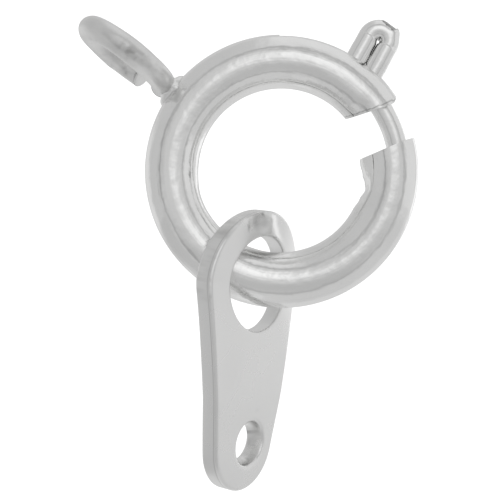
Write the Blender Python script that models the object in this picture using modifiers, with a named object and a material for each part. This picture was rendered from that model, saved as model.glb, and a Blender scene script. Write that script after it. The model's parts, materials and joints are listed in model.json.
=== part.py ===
"""Spring ring clasp with its connector tab, as closed solids at real size.

World frame: +Z up, +X to the right as the clasp is seen from the front, and +Y away from the
viewer. The ring lies in the XZ plane. The origin is the middle of the eyelet's hole, where the
clasp hangs on its chain. Lengths are in metres.
"""
import math

import bmesh
import bpy
from mathutils import Matrix, Vector

MM = 0.001

# Ring tube, rolled from sheet, with an open mouth and a narrow seam on its inner side
RING_OD = 6.00 * MM
TUBE_D = 1.18 * MM
TUBE_WALL = 0.13 * MM
SEAM_WIDTH = 0.05 * MM
SEAM_ANGLE = math.radians(37)        # from the tube's innermost line towards the viewer
MOUTH_WIDTH = 0.96 * MM
MOUTH_ANGLE = math.radians(23.8)     # of the mouth's middle, round the ring from +X towards +Z

# Bolt and hairpin trigger, bent from one wire
WIRE_D = 0.46 * MM
BORE_CLEARANCE = 0.045 * MM          # wire to the tube's inner wall
BOLT_ENGAGEMENT = 0.25 * MM          # length of the tip inside the lower end of the tube
BOLT_TRAVEL = math.radians(28)
TRIGGER_ANGLE = math.radians(52.0)   # where the trigger's middle crosses the rim
TRIGGER_LEAN = math.radians(9.0)     # of the legs, away from the mouth
TRIGGER_REACH = 1.04 * MM            # beyond the rim
TRIGGER_SLIT = 0.05 * MM             # between the two legs
TRIGGER_BEND = 0.25 * MM             # bend radius of the wire's middle where a leg meets the bolt
TAIL_LENGTH = 0.45 * MM
SLOT_CLEARANCE = 0.03 * MM

# Return spring, coiled from fine wire inside the tube
SPRING_WIRE_D = 0.10 * MM
SPRING_PITCH = 0.26 * MM
SPRING_CLEARANCE = 0.035 * MM        # to the bore and to the bolt's tail
SPRING_END_ANGLE = math.radians(200)

# Eyelet: a loop of round wire soldered to the rim, its own ends left a little apart
EYELET_ANGLE = math.radians(143.5)
EYELET_OD = 2.54 * MM
EYELET_WIRE_D = 0.54 * MM
EYELET_TURN = math.radians(4.8)      # of the loop's plane about the ring's radius
EYELET_SINK = 0.05 * MM              # of the wire into the tube's wall
EYELET_GAP_START = math.radians(27)  # from the soldered foot, round the loop's far side
EYELET_GAP_WIDTH = 0.80 * MM
SOLDER_LENGTH = 1.00 * MM            # along the rim
SOLDER_DEPTH = 0.80 * MM             # across the rim
SOLDER_HEIGHT = 0.17 * MM            # above the rim
SOLDER_SINK = 0.30 * MM              # below the rim, down the tube's sides

# Connector tab: a tapered plate with round ends and a hole in each, its head bowed to the front
TAB_HEAD_R = 1.61 * MM
TAB_FOOT_R = 1.03 * MM
TAB_PITCH = 3.53 * MM                # between the two holes
TAB_HEAD_HOLE_R = 1.05 * MM
TAB_FOOT_HOLE_R = 0.52 * MM
TAB_FOOT_HOLE_TAPER = 0.08 * MM      # by which the small hole's radius shrinks towards the back
TAB_FOOT_HOLE_OFFSET = 0.18 * MM     # of the small hole, off the plate's middle line
TAB_THICKNESS = 0.42 * MM
TAB_BOW = 0.22 * MM                  # rise of the head's middle line above its two sides
TAB_EDGE = 0.06 * MM                 # rounding of the stamped edges
TAB_TURN = math.radians(54.7)        # about its own length
TAB_LEAN = math.radians(1.5)         # of its length towards the viewer at the top
TAB_ROLL = math.radians(6.3)         # of its length, to the right at the top
TAB_ANGLE = math.radians(255.1)      # where it hangs, round the ring
TAB_DROP = 0.12 * MM                 # of the large hole's middle outside the tube's middle line
TAB_SHIFT = 0.02 * MM                # of the large hole's middle towards the viewer
TAB_PIVOT_INSET = 0.10 * MM          # of the swing's axis inside the tube's middle line

# Mesh fineness
RING_STEPS = 80
TUBE_SIDES = 20
WIRE_RESOLUTION = 4
SPRING_WIRE_RESOLUTION = 1
ARC_STEP = math.radians(4.5)
LOOP_STEP = math.radians(10)         # round the eyelet
BEND_STEPS = 6                       # on each of the bolt's two bends
HAIRPIN_STEPS = 12
SPRING_STEPS = 10                    # points in each turn of the spring
SOLDER_SEGMENTS = 20
SOLDER_RINGS = 12
END_SIDES = 40                       # sides of a full circle at the tab's round ends
HOLE_SIDES = 32
BOW_STRIPS = 6                       # strips across the bowed head
BOW_ROWS = 3                         # rows along it, down to the flat foot
EDGE_SEGMENTS = 2
SHARP_ANGLE = math.radians(40)       # a larger one between two faces is a sharp edge
CUT_MARGIN = 0.35 * MM               # by which a cutter passes the metal
MARK_SIZE = 0.5 * MM                 # of an empty on screen

TUBE_R = TUBE_D / 2
RING_R = RING_OD / 2 - TUBE_R
BORE_R = TUBE_R - TUBE_WALL
WIRE_R = WIRE_D / 2
BOLT_R = RING_R + BORE_R - BORE_CLEARANCE - WIRE_R
LEG_OFFSET = (WIRE_D + TRIGGER_SLIT) / 2
SLOT_WIDTH = WIRE_D + 2 * SLOT_CLEARANCE
EYELET_R = (EYELET_OD - EYELET_WIRE_D) / 2
EYELET_REACH = RING_OD / 2 + EYELET_OD / 2 - EYELET_SINK
WELD_DISTANCE = MM / 5000


def polar(radius, angle):
    """A point in the ring's plane, seen from the ring's middle."""
    return Vector((radius * math.cos(angle), 0, radius * math.sin(angle)))


def new_collection(name):
    """An empty collection in the scene."""
    collection = bpy.data.collections.new(name)
    bpy.context.scene.collection.children.link(collection)
    return collection


def metal(name, shade, roughness):
    """Bare polished metal of one shade of grey."""
    material = bpy.data.materials.new(name)
    material.use_nodes = True
    shader = material.node_tree.nodes["Principled BSDF"]
    shader.inputs["Base Color"].default_value = (shade, shade, shade * 0.99, 1)
    shader.inputs["Metallic"].default_value = 1.0
    shader.inputs["Roughness"].default_value = roughness
    return material


def add_part(name, mesh, material, parent):
    """A finished piece, placed in its parent's frame."""
    piece = bpy.data.objects.new(name, mesh)
    mesh.materials.append(material)
    piece.parent = parent
    parts.objects.link(piece)
    return piece


def add_empty(name, place, parent=None):
    """An empty that stands for a frame or a joint's axis."""
    empty = bpy.data.objects.new(name, None)
    empty.empty_display_size = MARK_SIZE
    empty.location = place
    empty.parent = parent
    parts.objects.link(empty)
    return empty


def add_cutter(name, data):
    """An object in the ring's frame that only shapes its neighbours."""
    cutter = bpy.data.objects.new(name, data)
    cutter.hide_render = True
    cutter.display_type = "WIRE"
    cutter.parent = ring_frame
    cutters.objects.link(cutter)
    return cutter


def add_boolean(piece, operation, other):
    """A Boolean modifier with the solver for closed meshes, since the exact one loses the thin tube."""
    modifier = piece.modifiers.new(other.name, "BOOLEAN")
    modifier.operation = operation
    modifier.solver = "MANIFOLD"
    modifier.object = other


def finish_mesh(work, name):
    """A mesh from a closed bmesh, with its faces pointing out."""
    bmesh.ops.remove_doubles(work, verts=work.verts, dist=WELD_DISTANCE)
    bmesh.ops.recalc_face_normals(work, faces=work.faces)
    mesh = bpy.data.meshes.new(name)
    work.to_mesh(mesh)
    work.free()
    return mesh


def curve_to_mesh(name, curve):
    """The mesh of a curve, with its loose caps welded."""
    holder = bpy.data.objects.new(name + "_path", curve)
    cutters.objects.link(holder)
    bpy.context.view_layer.update()
    evaluated = holder.evaluated_get(bpy.context.evaluated_depsgraph_get())
    loose = bpy.data.meshes.new_from_object(evaluated)
    bpy.data.objects.remove(holder)
    work = bmesh.new()
    work.from_mesh(loose)
    bpy.data.meshes.remove(loose)
    return finish_mesh(work, name)


def wire_mesh(name, points, diameter, resolution):
    """A round wire along a path of points, with closed ends."""
    curve = bpy.data.curves.new(name, "CURVE")
    curve.dimensions = "3D"
    curve.bevel_depth = diameter / 2
    curve.bevel_resolution = resolution
    curve.use_fill_caps = True
    spline = curve.splines.new("POLY")
    spline.points.add(len(points) - 1)
    for spot, point in zip(spline.points, points):
        spot.co = (*point, 1)
    return curve_to_mesh(name, curve)


def arc_points(radius, start, end):
    """Points on an arc about the ring's middle, both ends included."""
    count = max(2, math.ceil(abs(end - start) / ARC_STEP))
    return [polar(radius, start + (end - start) * i / count) for i in range(count + 1)]


def bend_points(corner, before, after, radius):
    """Points on the bend that joins two straight runs meeting at a corner."""
    turn = before.angle(after)
    centre = corner + (after - before).normalized() * (radius / math.cos(turn / 2))
    spoke = corner - before * (radius * math.tan(turn / 2)) - centre
    spin = Matrix.Rotation(turn / BEND_STEPS, 3, before.cross(after))
    points = []
    for _ in range(BEND_STEPS + 1):
        points.append(centre + spoke)
        spoke = spin @ spoke
    return points


def crossing(point, direction, radius):
    """The outer place where a line crosses a circle about the ring's middle."""
    along = point.dot(direction)
    return point + direction * (math.sqrt(along ** 2 - point.length_squared + radius ** 2) - along)


def angle_of(point):
    """Where a point lies round the ring."""
    return math.atan2(point.z, point.x)


def bolt_path():
    """The wire's middle line from the bolt's tip, up and down the hairpin, to the tail."""
    mouth_half = math.asin(MOUTH_WIDTH / 2 / BOLT_R)
    tip = MOUTH_ANGLE - mouth_half - BOLT_ENGAGEMENT / BOLT_R
    near_corner = crossing(trigger_foot - leg_side * LEG_OFFSET, leg_out, BOLT_R)
    far_corner = crossing(trigger_foot + leg_side * LEG_OFFSET, leg_out, BOLT_R)
    near_tangent = polar(1, angle_of(near_corner) + math.pi / 2)
    far_tangent = polar(1, angle_of(far_corner) + math.pi / 2)
    near_reach = TRIGGER_BEND * math.tan(near_tangent.angle(leg_out) / 2)
    far_reach = TRIGGER_BEND * math.tan(far_tangent.angle(-leg_out) / 2)
    tail_start = angle_of(far_corner) + far_reach / BOLT_R
    turn_centre = crossing(trigger_foot, leg_out, RING_OD / 2 + TRIGGER_REACH - WIRE_R)
    turn_centre -= leg_out * LEG_OFFSET
    points = arc_points(BOLT_R, tip, angle_of(near_corner) - near_reach / BOLT_R)[:-1]
    points += bend_points(near_corner, near_tangent, leg_out, TRIGGER_BEND)
    for i in range(HAIRPIN_STEPS + 1):
        angle = math.pi * i / HAIRPIN_STEPS
        points.append(turn_centre + (leg_out * math.sin(angle) - leg_side * math.cos(angle)) * LEG_OFFSET)
    points += bend_points(far_corner, -leg_out, far_tangent, TRIGGER_BEND)
    points += arc_points(BOLT_R, tail_start, tail_start + TAIL_LENGTH / BOLT_R)[1:]
    return points


def spring_path(start):
    """The spring's helix about the tube's middle line, from its free end to its held end."""
    coil_r = BORE_R - SPRING_CLEARANCE - SPRING_WIRE_D / 2
    first = start + (SPRING_CLEARANCE + SPRING_WIRE_D / 2) / RING_R
    turns = (SPRING_END_ANGLE - first) * RING_R / SPRING_PITCH
    count = round(turns * SPRING_STEPS)
    points = []
    for i in range(count + 1):
        spot = first + (SPRING_END_ANGLE - first) * i / count
        spin = math.tau * turns * i / count
        points.append(polar(RING_R + coil_r * math.cos(spin), spot) + Vector((0, coil_r * math.sin(spin), 0)))
    return points


def eyelet_path():
    """The loop's middle line, from its free end on the far side, round by the tip, to past its foot."""
    away = Vector((0, math.cos(EYELET_TURN), 0)) + polar(math.sin(EYELET_TURN), EYELET_ANGLE + math.pi / 2)
    outward = polar(1, EYELET_ANGLE)
    free_end = EYELET_GAP_START + EYELET_GAP_WIDTH / EYELET_R
    held_end = math.tau + EYELET_GAP_START
    count = math.ceil((held_end - free_end) / LOOP_STEP)
    points = []
    for i in range(count + 1):
        angle = free_end + (held_end - free_end) * i / count
        points.append(outward * (EYELET_REACH - EYELET_R * math.cos(angle)) + away * (EYELET_R * math.sin(angle)))
    return points


def tube_section_mesh():
    """The tube's section as an open ring of edges, from one side of the seam round to the other."""
    half_seam = SEAM_WIDTH / 2 / TUBE_R
    first = math.pi + SEAM_ANGLE + half_seam
    last = math.pi + SEAM_ANGLE - half_seam + math.tau
    work = bmesh.new()
    row = []
    for i in range(TUBE_SIDES + 1):
        angle = first + (last - first) * i / TUBE_SIDES
        row.append(work.verts.new((RING_R + TUBE_R * math.cos(angle), TUBE_R * math.sin(angle), 0)))
    for one, two in zip(row, row[1:]):
        work.edges.new((one, two))
    mesh = bpy.data.meshes.new("ring_case")
    work.to_mesh(mesh)
    work.free()
    return mesh


def sector_mesh(name, inner, outer, width, start, end):
    """A block bent about the ring's axis: its radii, its width across the ring and its two angles."""
    work = bmesh.new()
    corners = [(inner, -width / 2), (outer, -width / 2), (outer, width / 2), (inner, width / 2)]
    face = work.faces.new([work.verts.new(polar(radius, start) + Vector((0, y, 0))) for radius, y in corners])
    steps = max(2, math.ceil((end - start) / ARC_STEP))
    bmesh.ops.spin(work, geom=[face], cent=(0, 0, 0), axis=(0, -1, 0), angle=end - start, steps=steps,
                   use_duplicate=False)
    return finish_mesh(work, name)


def block_mesh(name, size):
    """A block of three sizes about its own middle."""
    work = bmesh.new()
    bmesh.ops.create_cube(work, size=1)
    bmesh.ops.scale(work, vec=size, verts=work.verts)
    return finish_mesh(work, name)


def ball_mesh(name, size):
    """A round lump of three sizes about its own middle."""
    work = bmesh.new()
    bmesh.ops.create_uvsphere(work, u_segments=SOLDER_SEGMENTS, v_segments=SOLDER_RINGS, radius=0.5)
    bmesh.ops.scale(work, vec=size, verts=work.verts)
    return finish_mesh(work, name)


def circle_points(middle, radius, start, end, sides):
    """Points on an arc in the tab's own plane."""
    count = max(2, round(sides * (end - start) / math.tau))
    angles = [start + (end - start) * i / count for i in range(count + 1)]
    return [(middle[0] + radius * math.cos(a), middle[1] + radius * math.sin(a)) for a in angles]


def tab_mesh():
    """The plate in its own frame: X across it, Y along it and Z out of its front."""
    taper = math.asin((TAB_HEAD_R - TAB_FOOT_R) / TAB_PITCH)
    outline = circle_points((0, 0), TAB_HEAD_R, -taper, math.pi + taper, END_SIDES)
    outline += circle_points((0, -TAB_PITCH), TAB_FOOT_R, math.pi + taper, math.tau - taper, END_SIDES)
    head_hole = circle_points((0, 0), TAB_HEAD_HOLE_R, 0, math.tau, HOLE_SIDES)[:-1]
    foot_hole = circle_points((TAB_FOOT_HOLE_OFFSET, -TAB_PITCH), TAB_FOOT_HOLE_R, 0, math.tau, HOLE_SIDES)[:-1]
    curve = bpy.data.curves.new("tab", "CURVE")
    curve.dimensions = "2D"
    curve.fill_mode = "BOTH"
    curve.extrude = TAB_THICKNESS / 2
    for loop in (outline, head_hole, foot_hole):
        spline = curve.splines.new("POLY")
        spline.points.add(len(loop) - 1)
        spline.use_cyclic_u = True
        for spot, (x, y) in zip(spline.points, loop):
            spot.co = (x, y, 0, 1)
    mesh = curve_to_mesh("tab", curve)
    bow_end = TAB_FOOT_R - TAB_PITCH
    work = bmesh.new()
    work.from_mesh(mesh)
    hole_middle = Vector((TAB_FOOT_HOLE_OFFSET, -TAB_PITCH, -TAB_THICKNESS / 2))
    for vert in work.verts:
        spoke = vert.co - hole_middle
        if spoke.length < TAB_FOOT_HOLE_R + WELD_DISTANCE:
            vert.co -= spoke.normalized() * TAB_FOOT_HOLE_TAPER
    for i in range(BOW_ROWS + 1):
        cut_plate(work, (0, bow_end * (1 - i / BOW_ROWS), 0), (0, 1, 0), bow_end)
    for i in range(1, BOW_STRIPS):
        cut_plate(work, (TAB_HEAD_R * (2 * i / BOW_STRIPS - 1), 0, 0), (1, 0, 0), bow_end)
    rim_drop = TAB_BOW * (TAB_HEAD_HOLE_R / TAB_HEAD_R) ** 2
    for vert in work.verts:
        fade = min(max(1 - vert.co.y / bow_end, 0), 1)
        vert.co.z += rim_drop - TAB_BOW * fade * (vert.co.x / TAB_HEAD_R) ** 2
    bmesh.ops.triangulate(work, faces=work.faces)
    work.to_mesh(mesh)
    work.free()
    return mesh


def cut_plate(work, place, normal, lowest):
    """Adds edges where a plane crosses the plate above a given height."""
    faces = [f for f in work.faces if max(v.co.y for v in f.verts) > lowest + WELD_DISTANCE]
    geom = set(faces)
    for face in faces:
        geom.update(face.edges)
        geom.update(face.verts)
    bmesh.ops.bisect_plane(work, geom=list(geom), plane_co=place, plane_no=normal, dist=WELD_DISTANCE)


# Clear the scene, then set up collections, frames and metals
for leftover in list(bpy.data.objects):
    bpy.data.objects.remove(leftover)
parts = new_collection("spring_ring_clasp")
cutters = new_collection("cutters")
ring_frame = add_empty("ring_frame", polar(-EYELET_REACH, EYELET_ANGLE))
case_silver = metal("case_silver", 0.80, 0.12)
wire_silver = metal("wire_silver", 0.78, 0.14)
spring_steel = metal("spring_steel", 0.62, 0.25)
tab_silver = metal("tab_silver", 0.80, 0.20)

# The trigger's two legs: their direction, the direction from the near leg to the far one, and their middle
leg_out = polar(1, TRIGGER_ANGLE + TRIGGER_LEAN)
leg_side = polar(1, TRIGGER_ANGLE + TRIGGER_LEAN + math.pi / 2)
trigger_foot = polar(RING_OD / 2, TRIGGER_ANGLE)

# Ring case: the section is turned about the ring's axis and given its wall
case = add_part("ring_case", tube_section_mesh(), case_silver, ring_frame)
turning = case.modifiers.new("turning", "SCREW")
turning.axis = "Y"
turning.angle = math.tau
turning.steps = RING_STEPS
turning.render_steps = RING_STEPS
turning.use_merge_vertices = True
turning.merge_threshold = WELD_DISTANCE
turning.use_normal_calculate = True
walling = case.modifiers.new("walling", "SOLIDIFY")
walling.thickness = TUBE_WALL
walling.offset = -1
walling.use_even_offset = True

# The mouth is sawn out with flat, parallel sides
saw_size = (TUBE_D + 2 * CUT_MARGIN, TUBE_D + 2 * CUT_MARGIN, MOUTH_WIDTH)
mouth_cutter = add_cutter("mouth_cutter", block_mesh("mouth_cutter", saw_size))
mouth_cutter.location = polar(RING_R, MOUTH_ANGLE)
mouth_cutter.rotation_euler = (0, -MOUTH_ANGLE, 0)
add_boolean(case, "DIFFERENCE", mouth_cutter)

# The slot in the outer wall takes the trigger's legs through their whole travel
near_side = crossing(trigger_foot - leg_side * (LEG_OFFSET + WIRE_R + SLOT_CLEARANCE), leg_out, RING_R + BORE_R)
far_side = crossing(trigger_foot + leg_side * (LEG_OFFSET + WIRE_R + SLOT_CLEARANCE), leg_out, RING_OD / 2)
slot_cutter = add_cutter("slot_cutter", sector_mesh(
    "slot_cutter", RING_R + BORE_R / 2, RING_OD / 2 + CUT_MARGIN, SLOT_WIDTH,
    angle_of(near_side), angle_of(far_side) + BOLT_TRAVEL))
add_boolean(case, "DIFFERENCE", slot_cutter)

# The eyelet and its solder join the case. The solder stops at the middle of the tube's wall
solder = add_cutter("solder", ball_mesh("solder", (SOLDER_HEIGHT + SOLDER_SINK, SOLDER_DEPTH, SOLDER_LENGTH)))
solder.location = polar(RING_OD / 2 + (SOLDER_HEIGHT - SOLDER_SINK) / 2, EYELET_ANGLE)
solder.rotation_euler = (0, -EYELET_ANGLE, 0)
guard_path = arc_points(RING_R, EYELET_ANGLE - SOLDER_LENGTH / RING_R, EYELET_ANGLE + SOLDER_LENGTH / RING_R)
bore_guard = add_cutter("bore_guard", wire_mesh("bore_guard", guard_path, TUBE_D - TUBE_WALL, WIRE_RESOLUTION))
add_boolean(solder, "DIFFERENCE", bore_guard)
eyelet = add_cutter("eyelet", wire_mesh("eyelet", eyelet_path(), EYELET_WIRE_D, WIRE_RESOLUTION))
add_boolean(case, "UNION", solder)
add_boolean(case, "UNION", eyelet)

# Bolt, whose frame is the ring's axis
bolt_points = bolt_path()
bolt = add_part("bolt", wire_mesh("bolt", bolt_points, WIRE_D, WIRE_RESOLUTION), wire_silver, ring_frame)

# Return spring, from the bolt's tail to its held end
spring_points = spring_path(angle_of(bolt_points[-1]))
spring_mesh = wire_mesh("return_spring", spring_points, SPRING_WIRE_D, SPRING_WIRE_RESOLUTION)
spring = add_part("return_spring", spring_mesh, spring_steel, ring_frame)

# Tab, threaded on the tube. Its frame is on the axis that it swings about
tab_frame = add_empty("tab_frame", polar(RING_R - TAB_PIVOT_INSET, TAB_ANGLE), ring_frame)
tab = add_part("tab", tab_mesh(), tab_silver, tab_frame)
tab.location = polar(TAB_PIVOT_INSET + TAB_DROP, TAB_ANGLE) - Vector((0, TAB_SHIFT, 0))
tab_turning = Matrix.Rotation(TAB_ROLL, 3, "Y") @ Matrix.Rotation(TAB_LEAN, 3, "X")
tab_turning = tab_turning @ Matrix.Rotation(TAB_TURN, 3, "Z") @ Matrix.Rotation(math.pi / 2, 3, "X")
tab.rotation_euler = tab_turning.to_euler()
rounding = tab.modifiers.new("rounding", "BEVEL")
rounding.width = TAB_EDGE
rounding.segments = EDGE_SEGMENTS
rounding.limit_method = "ANGLE"
rounding.angle_limit = SHARP_ANGLE

for piece in (bolt, spring, tab):
    piece.data.shade_smooth()
    piece.data.set_sharp_from_angle(angle=SHARP_ANGLE)
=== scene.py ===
"""Looks of a spring ring clasp that hangs by its eyelet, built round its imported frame.

Pieces are modelled in millimetres about a point of their own, and their meshes are then scaled to
metres and put in place. The ring lies in the XZ plane and +Y points away from the viewer.
"""
import json
import math

import bmesh
import bpy
from mathutils import Matrix, Vector, noise


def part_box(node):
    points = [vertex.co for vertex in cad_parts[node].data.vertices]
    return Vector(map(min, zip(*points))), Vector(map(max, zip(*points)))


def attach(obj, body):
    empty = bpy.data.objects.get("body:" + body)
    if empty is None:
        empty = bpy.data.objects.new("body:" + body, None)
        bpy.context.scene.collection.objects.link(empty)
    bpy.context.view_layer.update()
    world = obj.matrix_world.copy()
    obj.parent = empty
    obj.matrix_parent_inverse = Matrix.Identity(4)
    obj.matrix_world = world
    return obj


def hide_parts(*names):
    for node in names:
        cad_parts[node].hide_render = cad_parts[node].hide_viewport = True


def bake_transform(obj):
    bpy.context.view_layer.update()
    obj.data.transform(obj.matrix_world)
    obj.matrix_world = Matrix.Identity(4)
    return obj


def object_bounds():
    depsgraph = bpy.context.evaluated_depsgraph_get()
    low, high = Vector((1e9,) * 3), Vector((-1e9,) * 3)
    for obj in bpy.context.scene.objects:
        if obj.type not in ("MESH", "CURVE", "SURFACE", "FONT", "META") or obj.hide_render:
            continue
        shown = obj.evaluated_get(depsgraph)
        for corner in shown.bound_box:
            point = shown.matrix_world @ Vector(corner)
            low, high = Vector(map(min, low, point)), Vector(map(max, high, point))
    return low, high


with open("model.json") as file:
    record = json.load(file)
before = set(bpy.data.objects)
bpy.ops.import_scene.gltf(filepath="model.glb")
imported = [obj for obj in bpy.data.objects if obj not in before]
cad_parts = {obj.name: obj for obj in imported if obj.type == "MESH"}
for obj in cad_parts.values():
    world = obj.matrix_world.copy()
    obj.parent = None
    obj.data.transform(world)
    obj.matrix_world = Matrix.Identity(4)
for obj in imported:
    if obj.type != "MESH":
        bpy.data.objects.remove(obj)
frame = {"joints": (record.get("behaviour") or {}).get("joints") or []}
cad_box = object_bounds()

# Ring: a tube rolled from thin silver sheet, bent round and sawn open at the mouth. The sheet's two long
# edges meet in a seam on the inner side, where the back edge stands proud of the front one. A slot is
# milled in the outer wall for the trigger. It is polished, and handling has left fine marks on it.
MM = 0.001
bolt_joint = next(joint for joint in frame["joints"] if joint["name"] == "bolt")
RING_MIDDLE = Vector(bolt_joint["pos_m"])
RIM_R = (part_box("ring_case")[1].x - RING_MIDDLE.x) / MM
TUBE_R = 0.59
TUBE_WALL = 0.13
RING_R = RIM_R - TUBE_R
TUBE_SIDES = 72
RING_STEPS = 340
SEAM_WIDTH = 0.007
MOUTH_ANGLE = math.radians(23.8)
MOUTH_WIDTH = 0.96
UPPER_CUT = math.radians(20)         # direction of the mouth's upper face
LOWER_CUT = math.radians(21.9)       # and of its lower one
MOUTH_SPARE = math.radians(7)        # tube that is spun past each face before it is sawn off
MOUTH_ZONE = math.radians(30)        # either side of the mouth's middle, where the saw may cut
SLOT_WIDTH = 0.52
SLOT_START = math.radians(43)
SLOT_END = math.radians(91)
SLOT_MARGIN = 0.05                   # radians past the slot's ends where its cuts may run
EDGE_BEVEL = 0.022
CUT_MERGE = 1e-5                     # how near to a cut a vertex is taken into it
UPPER_TILT = math.radians(7)         # of the mouth's upper face, which lies deeper at the back
UPPER_SPARE = 0.115                  # that its front edge hangs below the mouth's plain width
CUT_LINE = 0.055                     # from that edge to the burr line beside it, which is darkened with painted shade
# darkness of the painted shade on that burr line
CUT_LINE_SHADE = 0.45
CUT_NEAR = 0.0005                    # how near to that line a vertex counts as on it
CHIP_ANGLE = math.radians(32.9)      # where the rim's corner is chipped off, at the mouth's upper end
CHIP_CUT = math.radians(63)          # direction of the chip's face
# Place of the seam: degrees round the ring, degrees round the tube from its innermost line to the viewer
SEAM_PLACE = (
    (22, 34), (50, 34), (95, 35), (160, 37), (200, 33), (260, 31), (330, 31), (350, 40), (382, 42),
)
# Flat along the tube's inner front side: degrees round the ring, depth in millimetres
FLAT_DEPTH = (
    (22, 0.0), (265, 0.0), (290, 0.015), (335, 0.045), (382, 0.040),
)
FLAT_MIDDLE = math.radians(55)       # round the tube from its innermost line to the viewer
FLAT_REACH = math.radians(30)
# Bulge of the back sheet beside the seam, towards the ring's middle: degrees round the ring, millimetres
LIP_RISE = (
    (22, 0.0), (50, -0.005), (180, -0.008), (197, -0.033), (228, -0.005), (255, 0.03), (275, 0.05),
    (332, 0.048), (341, 0.0), (348, -0.08), (352, -0.035), (357, 0.04), (365, 0.095), (382, 0.07),
)
LIP_START = math.radians(24)         # round the tube from the seam, where the bulge is whole
LIP_END = math.radians(105)          # and where it has died away
FRONT_SINK = 0.014                   # of the seam's front edge into the tube
SINK_SPREAD = math.radians(30)
CRIMP_DEPTH = 0.06                   # of the tube's front where the saw pressed it, at the mouth's upper end
CRIMP_REACH = math.radians(10)
CRIMP_MIDDLE = 0.95                  # radians round the tube from its innermost line to the viewer
CRIMP_SPREAD = 0.9
# Dark colour that the grime_and_shade attribute mixes in: real marks in some places, painted shade in others
GRIME_AND_SHADE_COLOUR = (0.03, 0.028, 0.025, 1)
WEAR_ROUGHNESS = 0.22                # that the marks of handling add, times their strength
HAIRLINE_DULLNESS = 0.6              # share of the haze's dullness that a hairline has
DULL_TONE = 0.12                     # share of its tone that dulled metal loses
GRAIN_HEIGHT = 0.12                  # heights of the marks, times a metal's own bump depth
HAIRLINE_HEIGHT = 0.4
DRAW_LINE_HEIGHT = 6
DIMPLE_HEIGHT = 12


def polar(radius, angle):
    """A point in the ring's plane, seen from the ring's middle."""
    return Vector((radius * math.cos(angle), 0, radius * math.sin(angle)))


def angle_of(point):
    """Where a point lies round the ring, in radians up from its right side."""
    return math.atan2(point.z, point.x)


def smooth(low, high, value):
    """0 below low, 1 above high, and an even curve between."""
    share = min(max((value - low) / (high - low), 0), 1)
    return share * share * (3 - 2 * share)


def table_value(table, key):
    """A height read from a table of (key, height) rows, with an even curve between rows."""
    for (one, low), (two, high) in zip(table, table[1:]):
        if key <= two:
            return low + (high - low) * smooth(one, two, key)
    return table[-1][1]


def sawn(work, faces, place, normal, clear=False):
    """Cuts some faces with a plane, and clears what lies beyond it if asked."""
    geom = set(faces)
    for face in faces:
        geom.update(face.verts)
        geom.update(face.edges)
    bmesh.ops.bisect_plane(work, geom=list(geom), dist=CUT_MERGE, plane_co=place, plane_no=normal,
                           clear_outer=clear)


def placed(work, name, place, turn=Matrix.Identity(4)):
    """A piece from a bmesh in millimetres, turned and put at a point of the frame."""
    bmesh.ops.transform(work, matrix=Matrix.Translation(place) @ turn @ Matrix.Scale(MM, 4), verts=work.verts)
    mesh = bpy.data.meshes.new(name)
    work.to_mesh(mesh)
    work.free()
    mesh.shade_smooth()
    piece = bpy.data.objects.new(name, mesh)
    bpy.context.scene.collection.objects.link(piece)
    return piece


def round_ring(vert):
    """A vertex's angle round the ring, and round the tube from its innermost line to the back."""
    radius = math.hypot(vert.co.x, vert.co.z)
    return angle_of(vert.co) % math.tau, math.atan2(vert.co.y, RING_R - radius)


def math_node(tree, operation, *values):
    """A Math node fed by numbers or sockets, and gives its socket."""
    made = tree.nodes.new("ShaderNodeMath")
    made.operation = operation
    for socket, value in zip(made.inputs, values):
        if isinstance(value, (int, float)):
            socket.default_value = value
        else:
            tree.links.new(value, socket)
    return made.outputs[0]


def ramp(tree, value, low, high):
    """A node that gives 0 at low, 1 at high, and an even curve between."""
    made = tree.nodes.new("ShaderNodeMapRange")
    made.interpolation_type = "SMOOTHSTEP"
    made.inputs["From Min"].default_value = low
    made.inputs["From Max"].default_value = high
    tree.links.new(value, made.inputs["Value"])
    return made.outputs["Result"]


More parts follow.
